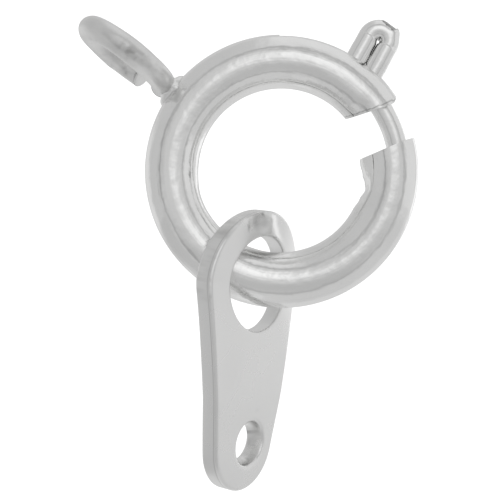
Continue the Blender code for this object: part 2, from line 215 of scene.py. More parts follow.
def surface_marks():
    """Node group: the marks of handling on polished metal. Its place is in millimetres, X along the grain."""
    group = bpy.data.node_groups.new("surface_marks", "ShaderNodeTree")
    group.interface.new_socket("Place", in_out="INPUT", socket_type="NodeSocketVector")
    for name in ("Haze", "Hairlines", "Draw Lines", "Dimples"):
        group.interface.new_socket(name, in_out="INPUT", socket_type="NodeSocketFloat")
    for name in ("Tone", "Roughness", "Height"):
        group.interface.new_socket(name, in_out="OUTPUT", socket_type="NodeSocketFloat")
    entry = group.nodes.new("NodeGroupInput")
    leave = group.nodes.new("NodeGroupOutput")

    def texture(scale, detail, stretch=(1, 1, 1)):
        stretched = group.nodes.new("ShaderNodeVectorMath")
        stretched.operation = "MULTIPLY"
        stretched.inputs[1].default_value = stretch
        group.links.new(entry.outputs["Place"], stretched.inputs[0])
        made = group.nodes.new("ShaderNodeTexNoise")
        made.inputs["Scale"].default_value = scale
        made.inputs["Detail"].default_value = detail
        group.links.new(stretched.outputs[0], made.inputs["Vector"])
        return made.outputs["Fac"]

    haze = ramp(group, texture(scale=0.9, detail=4), 0.35, 0.7)
    hairlines = ramp(group, texture(scale=1, detail=3, stretch=(0.8, 13, 13)), 0.60, 0.74)
    cross_lines = ramp(group, texture(scale=1, detail=2, stretch=(11, 2, 6)), 0.66, 0.76)
    lines = math_node(group, "MAXIMUM", hairlines, cross_lines)
    draw_lines = texture(scale=1, detail=2, stretch=(0.3, 5.5, 5.5))
    dimples = texture(scale=3.2, detail=2)
    grain = texture(scale=12, detail=2)
    haze_part = math_node(group, "MULTIPLY", haze, entry.outputs["Haze"])
    line_part = math_node(group, "MULTIPLY", lines, entry.outputs["Hairlines"])
    draw_part = math_node(group, "MULTIPLY", draw_lines, entry.outputs["Draw Lines"])
    dimple_part = math_node(group, "MULTIPLY", dimples, entry.outputs["Dimples"])
    line_dull = math_node(group, "MULTIPLY", line_part, HAIRLINE_DULLNESS)
    dull = math_node(group, "MULTIPLY", math_node(group, "ADD", haze_part, line_dull), DULL_TONE)
    grain_rise = math_node(group, "MULTIPLY", grain, GRAIN_HEIGHT)
    line_drop = math_node(group, "MULTIPLY", line_part, HAIRLINE_HEIGHT)
    draw_rise = math_node(group, "MULTIPLY", draw_part, DRAW_LINE_HEIGHT)
    dimple_rise = math_node(group, "MULTIPLY", dimple_part, DIMPLE_HEIGHT)
    scored = math_node(group, "SUBTRACT", grain_rise, line_drop)
    waves = math_node(group, "ADD", draw_rise, dimple_rise)
    group.links.new(math_node(group, "SUBTRACT", 1, dull), leave.inputs["Tone"])
    group.links.new(math_node(group, "ADD", haze_part, line_part), leave.inputs["Roughness"])
    group.links.new(math_node(group, "ADD", scored, waves), leave.inputs["Height"])
    return group


def straight_grain(name, turn, middle=(0, 0, 0)):
    """Node group: a place in millimetres from a middle, turned so that X runs along a straight grain."""
    group = bpy.data.node_groups.new(name, "ShaderNodeTree")
    group.interface.new_socket("Place", in_out="OUTPUT", socket_type="NodeSocketVector")
    leave = group.nodes.new("NodeGroupOutput")
    leave.name = "leave"
    source = group.nodes.new("ShaderNodeTexCoord")
    mapping = group.nodes.new("ShaderNodeMapping")
    mapping.name = "mapping"
    mapping.vector_type = "TEXTURE"
    mapping.inputs["Location"].default_value = middle
    mapping.inputs["Rotation"].default_value = turn
    mapping.inputs["Scale"].default_value = (MM, MM, MM)
    group.links.new(source.outputs["Object"], mapping.inputs["Vector"])
    group.links.new(mapping.outputs[0], leave.inputs["Place"])
    return group


def ring_grain():
    """Node group: a place in millimetres whose X runs along the bent tube, with its break at the mouth."""
    group = straight_grain("ring_grain", (0, math.pi - MOUTH_ANGLE, 0), RING_MIDDLE)
    place = group.nodes["mapping"].outputs[0]
    split = group.nodes.new("ShaderNodeSeparateXYZ")
    flat = group.nodes.new("ShaderNodeVectorMath")
    flat.operation = "MULTIPLY"
    flat.inputs[1].default_value = (1, 0, 1)
    radius = group.nodes.new("ShaderNodeVectorMath")
    radius.operation = "LENGTH"
    join = group.nodes.new("ShaderNodeCombineXYZ")
    links = group.links
    links.new(place, split.inputs[0])
    links.new(place, flat.inputs[0])
    links.new(flat.outputs[0], radius.inputs[0])
    angle = math_node(group, "ARCTAN2", split.outputs["Z"], split.outputs["X"])
    links.new(math_node(group, "MULTIPLY", angle, RING_R), join.inputs["X"])
    links.new(radius.outputs["Value"], join.inputs["Y"])
    links.new(split.outputs["Y"], join.inputs["Z"])
    links.new(join.outputs[0], group.nodes["leave"].inputs["Place"])
    return group


marks = surface_marks()


def worn_metal(name, grain, shade, roughness, haze, hairlines, draw_lines, dimples, depth):
    """Bare metal with the marks of handling, darker where the piece's own grime_and_shade attribute says:
    dirt in some places, painted shade in others.
    """
    material = bpy.data.materials.new(name)
    material.use_nodes = True
    tree = material.node_tree
    shader = tree.nodes["Principled BSDF"]
    shader.inputs["Metallic"].default_value = 1.0
    place = tree.nodes.new("ShaderNodeGroup")
    place.node_tree = grain
    wear = tree.nodes.new("ShaderNodeGroup")
    wear.node_tree = marks
    tree.links.new(place.outputs["Place"], wear.inputs["Place"])
    for socket, amount in zip(wear.inputs[1:], (haze, hairlines, draw_lines, dimples)):
        socket.default_value = amount
    grime_and_shade = tree.nodes.new("ShaderNodeAttribute")
    grime_and_shade.name = "grime_and_shade"
    grime_and_shade.attribute_name = "grime_and_shade"
    toned = tree.nodes.new("ShaderNodeMix")
    toned.data_type = "RGBA"
    toned.blend_type = "MULTIPLY"
    toned.inputs["Factor"].default_value = 1.0
    toned.inputs["A"].default_value = (*shade, 1)
    dark = tree.nodes.new("ShaderNodeMix")
    dark.name = "darken"
    dark.data_type = "RGBA"
    dark.inputs["B"].default_value = GRIME_AND_SHADE_COLOUR
    rough = math_node(tree, "MULTIPLY_ADD", wear.outputs["Roughness"], WEAR_ROUGHNESS, roughness)
    bump = tree.nodes.new("ShaderNodeBump")
    bump.inputs["Distance"].default_value = depth * MM
    tree.links.new(wear.outputs["Tone"], toned.inputs["B"])
    tree.links.new(toned.outputs["Result"], dark.inputs["A"])
    tree.links.new(grime_and_shade.outputs["Fac"], dark.inputs["Factor"])
    tree.links.new(dark.outputs["Result"], shader.inputs["Base Color"])
    tree.links.new(rough, shader.inputs["Roughness"])
    tree.links.new(wear.outputs["Height"], bump.inputs["Height"])
    tree.links.new(bump.outputs["Normal"], shader.inputs["Normal"])
    return material


def set_grime_and_shade(piece, rule):
    """Stores how dark each point is painted, from 0 to 1, by a rule that takes its place: dirt in some
    places, painted shade in others.
    """
    attribute = piece.data.attributes.new("grime_and_shade", "FLOAT", "POINT")
    for spot, vert in zip(attribute.data, piece.data.vertices):
        spot.value = rule(vert.co)


work = bmesh.new()
dirt_and_shade = work.verts.layers.float.new("grime_and_shade")
seam_gap = SEAM_WIDTH / TUBE_R
edge_turn = math.pi + seam_gap / 2
sheet_edge = work.verts.new((RING_R + TUBE_R * math.cos(edge_turn), TUBE_R * math.sin(edge_turn), 0))
bmesh.ops.spin(work, geom=[sheet_edge], cent=(RING_R, 0, 0), axis=(0, 0, 1), angle=math.tau - seam_gap,
               steps=TUBE_SIDES, use_duplicate=False)
sweep = math.tau - 2 * math.asin(MOUTH_WIDTH / 2 / RIM_R) + 2 * MOUTH_SPARE
start = MOUTH_ANGLE + (math.tau - sweep) / 2
bmesh.ops.rotate(work, cent=(0, 0, 0), matrix=Matrix.Rotation(-start, 3, "Y"), verts=work.verts)
bmesh.ops.spin(work, geom=work.verts[:] + work.edges[:], cent=(0, 0, 0), axis=(0, -1, 0), angle=sweep,
               steps=RING_STEPS, use_duplicate=False)
bmesh.ops.recalc_face_normals(work, faces=work.faces)
middle_face = min(work.faces, key=lambda face: (face.calc_center_median() - polar(RIM_R, math.pi)).length)
if middle_face.normal.x > 0:
    bmesh.ops.reverse_faces(work, faces=work.faces)

for vert in work.verts:
    angle, past_seam = round_ring(vert)
    degrees = math.degrees(angle)
    if degrees < math.degrees(MOUTH_ANGLE):
        degrees += 360
    seam_place = math.radians(table_value(SEAM_PLACE, degrees))
    round_tube = past_seam - seam_place
    outward = Vector((0, math.sin(round_tube), 0)) - polar(math.cos(round_tube), angle)
    vert.co = polar(RING_R, angle) + outward * TUBE_R
    if past_seam > 0:
        bulge = smooth(0, LIP_START, past_seam) * (1 - smooth(LIP_START, LIP_END, past_seam))
        vert.co -= polar(table_value(LIP_RISE, degrees) * bulge, angle)
    else:
        vert.co -= outward * (FRONT_SINK * (1 - smooth(0, SINK_SPREAD, -past_seam)))
        flatness = 1 - smooth(0, FLAT_REACH, abs(round_tube + FLAT_MIDDLE))
        vert.co -= outward * (table_value(FLAT_DEPTH, degrees) * flatness)
    from_cut = angle - MOUTH_ANGLE - math.asin(MOUTH_WIDTH / 2 / RING_R)
    if abs(from_cut) < CRIMP_REACH:
        pressed = 1 - smooth(0, CRIMP_REACH, from_cut)
        pressed *= 1 - smooth(0, CRIMP_SPREAD, abs(round_tube + CRIMP_MIDDLE))
        vert.co -= outward * (CRIMP_DEPTH * pressed)

mouth_side = polar(1, MOUTH_ANGLE + math.pi / 2)


def near_mouth(sign):
    """Faces of the tube beside the mouth's upper end, 1, or its lower one, -1."""
    found = []
    for face in work.faces:
        middle = face.calc_center_median()
        if middle.angle(polar(1, MOUTH_ANGLE)) < MOUTH_ZONE and middle.dot(mouth_side) * sign > 0:
            found.append(face)
    return found


for sign, cut, tilt, spare in ((-1, LOWER_CUT, 0, 0), (1, UPPER_CUT, UPPER_TILT, UPPER_SPARE)):
    from_middle = mouth_side * (sign * (MOUTH_WIDTH / 2 - spare))
    front = polar(RING_R, MOUTH_ANGLE) + from_middle - Vector((0, TUBE_R, 0))
    cleared = -sign * polar(math.cos(tilt), cut + math.pi / 2) + Vector((0, math.sin(tilt), 0))
    sawn(work, near_mouth(sign), front, cleared, clear=True)
# The upper face was sawn last, so front and cleared are its own for the burr line beside it
sawn(work, near_mouth(1), front - cleared * CUT_LINE, cleared)
sawn(work, near_mouth(1), polar(RIM_R, CHIP_ANGLE), polar(1, CHIP_CUT - math.pi / 2), clear=True)
# Painted shade: vertices on the burr line beside the upper face are darkened
for vert in work.verts:
    on_line = abs((vert.co - front).dot(cleared) + CUT_LINE) < CUT_NEAR
    if on_line and vert.co.angle(polar(1, MOUTH_ANGLE)) < MOUTH_ZONE:
        vert[dirt_and_shade] = CUT_LINE_SHADE


def over_slot(margin):
    """Faces of the outer wall within a margin, in radians, of the slot's length."""
    found = []
    for face in work.faces:
        middle = face.calc_center_median()
        angle = angle_of(middle) % math.tau
        if middle.length > RING_R + TUBE_R / 2 and SLOT_START - margin < angle < SLOT_END + margin:
            found.append(face)
    return found


for side in (1, -1):
    sawn(work, over_slot(SLOT_MARGIN), (0, side * SLOT_WIDTH / 2, 0), (0, 1, 0))
for end in (SLOT_START, SLOT_END):
    sawn(work, over_slot(SLOT_MARGIN), (0, 0, 0), polar(1, end + math.pi / 2))
slot_faces = [face for face in over_slot(0) if abs(face.calc_center_median().y) < SLOT_WIDTH / 2]
bmesh.ops.delete(work, geom=slot_faces, context="FACES")

ring_tube = placed(work, "ring_tube", RING_MIDDLE)
wall = ring_tube.modifiers.new("wall", "SOLIDIFY")
wall.thickness = TUBE_WALL * MM
wall.offset = -1
edges = ring_tube.modifiers.new("edges", "BEVEL")
edges.width = EDGE_BEVEL * MM
edges.segments = 3
edges.limit_method = "ANGLE"
edges.angle_limit = math.radians(50)
ring_silver = worn_metal("ring_silver", ring_grain(), (0.90, 0.90, 0.895), roughness=0.14, haze=0.30,
                         hairlines=0.25, draw_lines=2.6, dimples=2.2, depth=0.0006)
ring_tube.data.materials.append(ring_silver)
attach(ring_tube, "case")
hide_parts("ring_case")

# Eyelet: a loop bent from round wire, whose blunt ends do not meet. Pliers left flats and dark marks on
# it. Its foot stands on the ring's rim and is soldered there, which leaves a small fillet and a bead.
EYELET_ANGLE = math.radians(143.5)
EYELET_WIRE_R = 0.265
EYELET_R = 0.996
EYELET_TURN = math.radians(4.8)
EYELET_START = math.radians(67)
EYELET_END = math.radians(376)
EYELET_SIDES = 40
EYELET_STEPS = 170
END_ROUNDING = 0.06
EYELET_WOBBLE = 0.007
PRINT_UNEVEN = 1.2                   # how unevenly the pliers pressed, and over what length that changes
PRINT_PITCH = 0.16
MOTTLE_LEAST = 0.35                  # share of a mark's darkness between its mottles
MOTTLE_PITCH = 0.11
MOTTLE_MOST = 0.9                    # darkness that overlapping marks reach at most
# Marks of the pliers on the eyelet: X and Z in the frame, side (-1 is the viewer's), radius, depth, darkness
PLIER_MARKS = (
    (0.11, 0.02, -1, 0.12, 0.005, 0.40),
    (0.24, -0.12, -1, 0.13, 0.004, 0.42),
    (0.47, -0.18, -1, 0.11, 0.005, 0.22),
    (-0.07, 0.04, -1, 0.12, 0.003, 0.16),
    (0.66, -0.38, -1, 0.10, 0.008, 0.20),
    (-0.75, 0.20, -1, 0.06, 0.000, 0.70),
    (-0.14, -0.12, 1, 0.05, 0.006, 0.60),
    (-0.11, -0.22, 1, 0.05, 0.006, 0.60),
    (-0.50, 0.03, 1, 0.15, 0.008, 0.12),
)

eyelet_out = polar(1, EYELET_ANGLE)
eyelet_away = Vector((0, math.cos(EYELET_TURN), 0)) + polar(math.sin(EYELET_TURN), EYELET_ANGLE + math.pi / 2)
eyelet_axes = Matrix((-eyelet_out, eyelet_away, (-eyelet_out).cross(eyelet_away))).transposed().to_4x4()


def wobbled(work, amount, pitch, seed):
    """Moves each vertex in or out a little by an even noise, as hand work leaves a surface."""
    bmesh.ops.recalc_face_normals(work, faces=work.faces)
    work.normal_update()
    for vert in work.verts:
        vert.co += vert.normal * (amount * noise.noise(vert.co / pitch + Vector((seed, seed, seed))))


def loop_wire(radius, wire_r, start, end, sides, steps):
    """A bent wire in the XY plane about its own middle, with closed ends, as a bmesh in millimetres."""
    work = bmesh.new()
    upright = Matrix.Translation((radius, 0, 0)) @ Matrix.Rotation(math.pi / 2, 4, "X")
    bmesh.ops.create_circle(work, cap_ends=True, segments=sides, radius=wire_r, matrix=upright)
    bmesh.ops.rotate(work, cent=(0, 0, 0), matrix=Matrix.Rotation(start, 3, "Z"), verts=work.verts)
    bmesh.ops.spin(work, geom=work.verts[:] + work.edges[:] + work.faces[:], cent=(0, 0, 0), axis=(0, 0, 1),
                   angle=end - start, steps=steps, use_duplicate=False)
    bmesh.ops.recalc_face_normals(work, faces=work.faces)
    return work


work = loop_wire(EYELET_R, EYELET_WIRE_R, EYELET_START, EYELET_END, EYELET_SIDES, EYELET_STEPS)
caps = [face for face in work.faces if len(face.verts) == EYELET_SIDES]
rims = list({edge for face in caps for edge in face.edges})
bmesh.ops.bevel(work, geom=rims, offset=END_ROUNDING, segments=4, profile=0.5, affect="EDGES", material=-1)
wobbled(work, EYELET_WOBBLE, pitch=0.45, seed=3)
bmesh.ops.transform(work, matrix=eyelet_axes, verts=work.verts)


def mark_strength(point, mark):
    """How strongly a mark of the pliers shows at a point in millimetres, from 0 to 1."""
    x, z, side, radius = mark[:4]
    if point.y * side < 0:
        return 0
    return math.exp(-((point.x - x) ** 2 + (point.z - z) ** 2) / radius ** 2)


for vert in work.verts:
    depth = sum(mark[4] * mark_strength(vert.co, mark) for mark in PLIER_MARKS)
    vert.co -= vert.normal * depth * (1 + PRINT_UNEVEN * noise.noise(vert.co / PRINT_PITCH))
eyelet_loop = placed(work, "eyelet_loop", Vector((0, 0, 0)))


def plier_grime(place):
    """Dark mottles inside the marks of the pliers."""
    point = place / MM
    mottle = MOTTLE_LEAST + (1 - MOTTLE_LEAST) * smooth(-0.1, 0.3, noise.noise(point / MOTTLE_PITCH))
    return min(sum(mark[5] * mark_strength(point, mark) for mark in PLIER_MARKS) * mottle, MOTTLE_MOST)


set_grime_and_shade(eyelet_loop, plier_grime)
grain_x = straight_grain("straight_grain", (0, 0, 0))
# Its silver is set darker than the ring's: painted shade over the whole eyelet
eyelet_silver = worn_metal("eyelet_silver", grain_x, (0.80, 0.80, 0.795), roughness=0.32, haze=0.5,
                           hairlines=0.3, draw_lines=0.2, dimples=1.2, depth=0.0010)
eyelet_loop.data.materials.append(eyelet_silver)
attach(eyelet_loop, "case")

# Solder: silver solder that ran out on the rim and up the eyelet's foot, with a small bead in front. A flat
# lump, the rim and the foot are melted into one form and evened out, and its lower part is cut off.
SOLDER_VOXEL = 0.022
SOLDER_SHRINK = 0.016
SOLDER_SIZE = (0.26, 0.56, 0.80)     # out of the rim, across it and along it
SOLDER_ROOT = 0.125                  # how deep the solder is drawn below the rim
SOLDER_WOBBLE = 0.010
RIM_SPAN = math.radians(34)          # of the stretch of rim that is melted in
FOOT_START = -0.75                   # radians along the eyelet's wire where the melted foot starts
FOOT_END = 0.22
MELT_SIDES = 32
MELT_STEPS = 24
BEAD_R = 0.075
BEAD_SINK = 0.06                     # of the bead's middle below the rim
BEAD_TURN = 0.028                    # radians round the ring from the eyelet's foot
BEAD_FRONT = 0.30
# darkness of the painted shade in the crease where the solder meets the ring
CREASE_SHADE = 0.18
CREASE_SHADE_REACH = 0.022                   # off the tube's surface, where the painted crease shade has died away


def melt_in(work, form):
    """Adds another bmesh to the lump of solder."""
    spare = bpy.data.meshes.new("spare")
    form.to_mesh(spare)
    form.free()
    work.from_mesh(spare)
    bpy.data.meshes.remove(spare)


def smoothed(work, verts, rounds):
    """Evens some vertices out, round by round."""
    for _ in range(rounds):
        bmesh.ops.smooth_vert(work, verts=verts, factor=0.5, use_axis_x=True, use_axis_y=True,
                              use_axis_z=True)


work = bmesh.new()
lump_turn = Matrix.Rotation(-EYELET_ANGLE, 4, "Y")
lump_place = Matrix.Translation(polar(RIM_R, EYELET_ANGLE)) @ lump_turn @ Matrix.Diagonal((*SOLDER_SIZE, 1))
bmesh.ops.create_uvsphere(work, u_segments=32, v_segments=20, radius=0.5, matrix=lump_place)
bead_place = polar(RIM_R - BEAD_SINK, EYELET_ANGLE - BEAD_TURN) - Vector((0, BEAD_FRONT, 0))
bmesh.ops.create_uvsphere(work, u_segments=16, v_segments=10, radius=BEAD_R,
                          matrix=Matrix.Translation(bead_place))
rim = loop_wire(RING_R, TUBE_R - SOLDER_SHRINK, 0, RIM_SPAN, MELT_SIDES, MELT_STEPS)
rim_turn = Matrix.Rotation(-EYELET_ANGLE + RIM_SPAN / 2, 4, "Y") @ Matrix.Rotation(math.pi / 2, 4, "X")
bmesh.ops.transform(rim, matrix=rim_turn, verts=rim.verts)
melt_in(work, rim)
foot = loop_wire(EYELET_R, EYELET_WIRE_R - SOLDER_SHRINK, FOOT_START, FOOT_END, MELT_SIDES, MELT_STEPS)
bmesh.ops.transform(foot, matrix=Matrix.Translation(-RING_MIDDLE / MM) @ eyelet_axes, verts=foot.verts)
melt_in(work, foot)
mesh = bpy.data.meshes.new("solder")
work.to_mesh(mesh)
work.free()
lump = bpy.data.objects.new("solder", mesh)
bpy.context.scene.collection.objects.link(lump)
melt = lump.modifiers.new("melt", "REMESH")
melt.mode = "VOXEL"
melt.voxel_size = SOLDER_VOXEL
bpy.context.view_layer.update()
melted = bpy.data.meshes.new_from_object(lump.evaluated_get(bpy.context.evaluated_depsgraph_get()))
bpy.data.objects.remove(lump)
work = bmesh.new()
work.from_mesh(melted)
bpy.data.meshes.remove(melted)
smoothed(work, work.verts, rounds=16)
wobbled(work, SOLDER_WOBBLE, pitch=0.2, seed=11)
sawn(work, work.faces[:], polar(RIM_R - SOLDER_ROOT, EYELET_ANGLE), -eyelet_out, clear=True)
rims = [edge for edge in work.edges if edge.is_boundary]
bmesh.ops.holes_fill(work, edges=rims, sides=0)
solder = placed(work, "eyelet_solder", RING_MIDDLE)


def crease_shade(place):
    """Painted shade in the crease where the solder runs out on the ring."""
    point = (place - RING_MIDDLE) / MM
    over_ring = (point - polar(RING_R, angle_of(point))).length - TUBE_R
    return CREASE_SHADE * (1 - smooth(0, CREASE_SHADE_REACH, abs(over_ring)))


set_grime_and_shade(solder, crease_shade)
solder_metal = worn_metal("solder_metal", grain_x, (0.90, 0.90, 0.895), roughness=0.26, haze=0.4,
                          hairlines=0.1, draw_lines=0, dimples=0.8, depth=0.0008)
solder.data.materials.append(solder_metal)
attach(solder, "case")

# Bolt: one round wire. Its tip reaches into the ring's lower end, it bridges the mouth, runs up inside
# the tube, comes out of the slot as the thumb's hairpin trigger and goes back in as a short tail.
WIRE_R = 0.23
WIRE_SIDES = 48
BOLT_CLEARANCE = 0.045               # between the wire and the tube's outer wall
BOLT_R = RING_R + TUBE_R - TUBE_WALL - BOLT_CLEARANCE - WIRE_R
BOLT_ENGAGEMENT = 0.25
TRIGGER_ANGLE = math.radians(52)
TRIGGER_LEAN = math.radians(9)
TRIGGER_REACH = 1.04
LEG_OFFSET = 0.236                   # of each leg's middle from the trigger's middle
LEG_SQUASH = 0.009                   # that each leg spreads at its inner side, so that the two touch
SQUASH_WIDTH = 0.6                   # share of the wire's radius over which a leg is spread
SQUASH_FADE = 0.15                   # below the hairpin's middle, over which the spreading dies away
ARC_STEPS = 48
BEND_STEPS = 12
LEG_STEPS = 14
HAIRPIN_STEPS = 56
TAIL_STEPS = 6
WIRE_END = 0.05                      # rounding of the wire's ends
BEND_ZONE = 1.3                      # wire radii past the legs' middles that are evened out at the bend
WIRE_WOBBLE = 0.005
TRIGGER_BEND = 0.25
TAIL_LENGTH = 0.45
EYE_R = 0.05                         # of the small hole left inside the hairpin
EYE_SLANT = Vector((-0.18, 1, -0.13))
EYE_DROP = 0.03                      # of the small hole below the hairpin's middle
CORNER_TURN = math.radians(36)       # of the hammered corner from the trigger's axis, to the right
CORNER_SPREAD = math.radians(14)
CORNER_BULGE = 0.05
FACET_TURN = math.radians(10)        # of the flat that the hammer left, and its lean to the front
FACET_LEAN = math.radians(24)
FACET_DEPTH = 0.05
FACET_END = math.radians(27)
FACET_SKIN = 0.008                   # how near to the flat a point counts as on it
# painted shade on the flat that the hammer left, for its dark reflection
FACET_SHADE = 0.72
FACET_MOTTLE = 0.5
FACET_PITCH = 0.05
END_LINE_SHADE = 0.6                  # painted shade in the line where the flat ends
SLIT_SHADE = 0.9                      # painted shade between the legs
SLIT_DARK = 0.008                    # to each side of the slit, where its painted shade is whole
SLIT_REACH = 0.024                   # and where it has died away
SHADE_DROP = 0.1                      # below the rim's height, where the trigger's painted shade starts

leg_heading = TRIGGER_ANGLE + TRIGGER_LEAN
leg_out = polar(1, leg_heading)
leg_side = polar(1, leg_heading + math.pi / 2)
trigger_foot = polar(RIM_R, TRIGGER_ANGLE)


def crossing(point, direction, radius):
    """The outer place where a line crosses a circle about the ring's middle."""
    along = point.dot(direction)
    return point + direction * (math.sqrt(along ** 2 - point.length_squared + radius ** 2) - along)


def of_kind(items, kind):
    """The vertices or faces among the things that an operator made."""
    return [item for item in items if isinstance(item, kind)]


def spun(work, faces, centre, axis, angle, steps):
    """Carries the wire's end on round a centre, and gives its new end."""
    made = bmesh.ops.spin(work, geom=faces, cent=centre, axis=axis, angle=angle, steps=steps,
                          use_duplicate=False)
    return of_kind(made["geom_last"], bmesh.types.BMFace)


def run_on(work, faces, move):
    """Carries the wire's end straight on by even steps, and gives its new end."""
    made = bmesh.ops.spin(work, geom=faces, dvec=move / LEG_STEPS, angle=0, axis=(0, 1, 0), steps=LEG_STEPS,
                          use_duplicate=False)
    return of_kind(made["geom_last"], bmesh.types.BMFace)


def bend_middle(side):
    """The middle of the bend between the bolt's arc and the trigger's leg on one side."""
    off_side = trigger_foot.dot(leg_side) + side * (LEG_OFFSET + TRIGGER_BEND)
    return leg_side * off_side + leg_out * math.sqrt((BOLT_R + TRIGGER_BEND) ** 2 - off_side ** 2)


near_bend = bend_middle(-1)
far_bend = bend_middle(1)
near_turn = angle_of(near_bend) + math.pi / 2 - leg_heading
far_turn = leg_heading + math.pi / 2 - angle_of(far_bend)
tip_angle = MOUTH_ANGLE - math.asin(MOUTH_WIDTH / 2 / BOLT_R) - BOLT_ENGAGEMENT / BOLT_R
hairpin_middle = crossing(trigger_foot, leg_out, RIM_R + TRIGGER_REACH - WIRE_R) - leg_out * LEG_OFFSET

work = bmesh.new()
across = Matrix.Translation((BOLT_R, 0, 0))
bmesh.ops.create_circle(work, cap_ends=True, segments=WIRE_SIDES, radius=WIRE_R, matrix=across)
bmesh.ops.rotate(work, cent=(0, 0, 0), matrix=Matrix.Rotation(-tip_angle, 3, "Y"), verts=work.verts)
end = spun(work, work.faces[:], (0, 0, 0), (0, -1, 0), angle_of(near_bend) - tip_angle, ARC_STEPS)
end = spun(work, end, near_bend, (0, 1, 0), near_turn, BEND_STEPS)
end = run_on(work, end, leg_out * (hairpin_middle - near_bend).dot(leg_out))
end = spun(work, end, hairpin_middle, (0, -1, 0), math.pi, HAIRPIN_STEPS)
end = run_on(work, end, leg_out * (far_bend - hairpin_middle).dot(leg_out))
end = spun(work, end, far_bend, (0, 1, 0), far_turn, BEND_STEPS)
spun(work, end, (0, 0, 0), (0, -1, 0), TAIL_LENGTH / BOLT_R, TAIL_STEPS)
caps = [face for face in work.faces if len(face.verts) == WIRE_SIDES]
rims = list({edge for face in caps for edge in face.edges})
bmesh.ops.bevel(work, geom=rims, offset=WIRE_END, segments=3, profile=0.5, affect="EDGES", material=-1)
bend_reach = LEG_OFFSET + WIRE_R * BEND_ZONE
bend_verts = [vert for vert in work.verts if (vert.co - hairpin_middle).length < bend_reach]
smoothed(work, bend_verts, rounds=8)
wobbled(work, WIRE_WOBBLE, pitch=0.4, seed=7)
leg_right = -leg_side
facet_way = leg_out * math.cos(FACET_TURN) + leg_right * math.sin(FACET_TURN)
facet_normal = facet_way * math.cos(FACET_LEAN) - Vector((0, math.sin(FACET_LEAN), 0))
facet_rise = LEG_OFFSET * math.cos(FACET_LEAN) + WIRE_R - FACET_DEPTH
eye_axis = EYE_SLANT.normalized()


def turn_right(off):
    """How far a point of the hairpin lies round its middle from the trigger's axis, to the right."""
    return math.atan2(off.dot(leg_right), off.dot(leg_out))


for vert in work.verts:
    off = vert.co - hairpin_middle
    if off.dot(leg_out) < -hairpin_middle.length + RIM_R:
        continue
    side = off.dot(leg_right)
    if abs(side) < LEG_OFFSET:
        near = 1 - smooth(0, WIRE_R * SQUASH_WIDTH, abs(side))
        near *= 1 - smooth(-SQUASH_FADE, 0, off.dot(leg_out))
        vert.co -= leg_right * (math.copysign(LEG_SQUASH, side) * near)
    flat = off - Vector((0, off.y, 0))
    if flat.length > LEG_OFFSET:
        bulge = math.exp(-((turn_right(off) - CORNER_TURN) / CORNER_SPREAD) ** 2)
        vert.co += flat.normalized() * (CORNER_BULGE * bulge)
    off = vert.co - hairpin_middle
    proud = off.dot(facet_normal) - facet_rise
    if proud > 0 and turn_right(off) < FACET_END:
        vert.co -= facet_normal * proud
    off += leg_out * EYE_DROP
    from_eye = off - eye_axis * off.dot(eye_axis)
    if from_eye.length < EYE_R:
        vert.co += from_eye.normalized() * (EYE_R - from_eye.length)
bolt_wire = placed(work, "bolt_wire", RING_MIDDLE)


def trigger_shade(place):
    """Painted shade between the trigger's legs, in its eye and in the line where the flat ends, and a painted
    dark reflection on the flat that the hammer left.
    """
    off = (place - RING_MIDDLE) / MM - hairpin_middle
    if off.dot(leg_out) < -hairpin_middle.length + RIM_R - SHADE_DROP:
        return 0
    if off.dot(facet_normal) > facet_rise - FACET_SKIN and turn_right(off) < FACET_END:
        return FACET_SHADE + FACET_MOTTLE * noise.noise(off / FACET_PITCH)
    if math.hypot(off.x, off.z) > LEG_OFFSET + WIRE_R / 2 and off.y < 0:
        return END_LINE_SHADE * (1 - smooth(0.03, 0.08, abs(turn_right(off) - FACET_END)))
    # Painted shade in the slit between the legs
    if off.dot(leg_out) < EYE_R * 1.3:
        return SLIT_SHADE * (1 - smooth(SLIT_DARK, SLIT_REACH, abs(off.dot(leg_right))))
    return 0


set_grime_and_shade(bolt_wire, trigger_shade)
wire_silver = worn_metal("wire_silver", grain_x, (0.89, 0.89, 0.885), roughness=0.17, haze=0.3,
                         hairlines=0.3, draw_lines=0.4, dimples=1.0, depth=0.0008)
bolt_wire.data.materials.append(wire_silver)
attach(bolt_wire, "bolt")
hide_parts("bolt")

# Return spring: fine steel wire coiled inside the tube, from the bolt's tail to its held end. It shortens
# when the bolt is drawn back; here it is one fixed coil that follows neither body.
SPRING_WIRE_R = 0.05
SPRING_GAP = 0.035                   # to the tube's wall, and to the bolt's tail
SPRING_COIL_R = TUBE_R - TUBE_WALL - SPRING_GAP - SPRING_WIRE_R
SPRING_PITCH = 0.26
SPRING_END = math.radians(200)
SPRING_SIDES = 10
SPRING_STEPS = 20                    # in each turn
spring_start = angle_of(far_bend) + TAIL_LENGTH / BOLT_R + (SPRING_GAP + SPRING_WIRE_R) / RING_R
turns = (SPRING_END - spring_start) * RING_R / SPRING_PITCH
work = bmesh.new()
upright = Matrix.Translation((SPRING_COIL_R, 0, 0)) @ Matrix.Rotation(math.pi / 2, 4, "X")
bmesh.ops.create_circle(work, cap_ends=True, segments=SPRING_SIDES, radius=SPRING_WIRE_R, matrix=upright)
steps = round(turns * SPRING_STEPS)
bmesh.ops.spin(work, geom=work.verts[:] + work.edges[:] + work.faces[:], cent=(0, 0, 0), axis=(0, 0, 1),
               dvec=(0, 0, turns * SPRING_PITCH / steps), angle=math.tau * turns, steps=steps,
               use_duplicate=False)
bmesh.ops.recalc_face_normals(work, faces=work.faces)
for vert in work.verts:
    angle = spring_start + vert.co.z / RING_R
    vert.co = polar(RING_R + vert.co.x, angle) + Vector((0, vert.co.y, 0))
spring_coil = placed(work, "spring_coil", RING_MIDDLE)
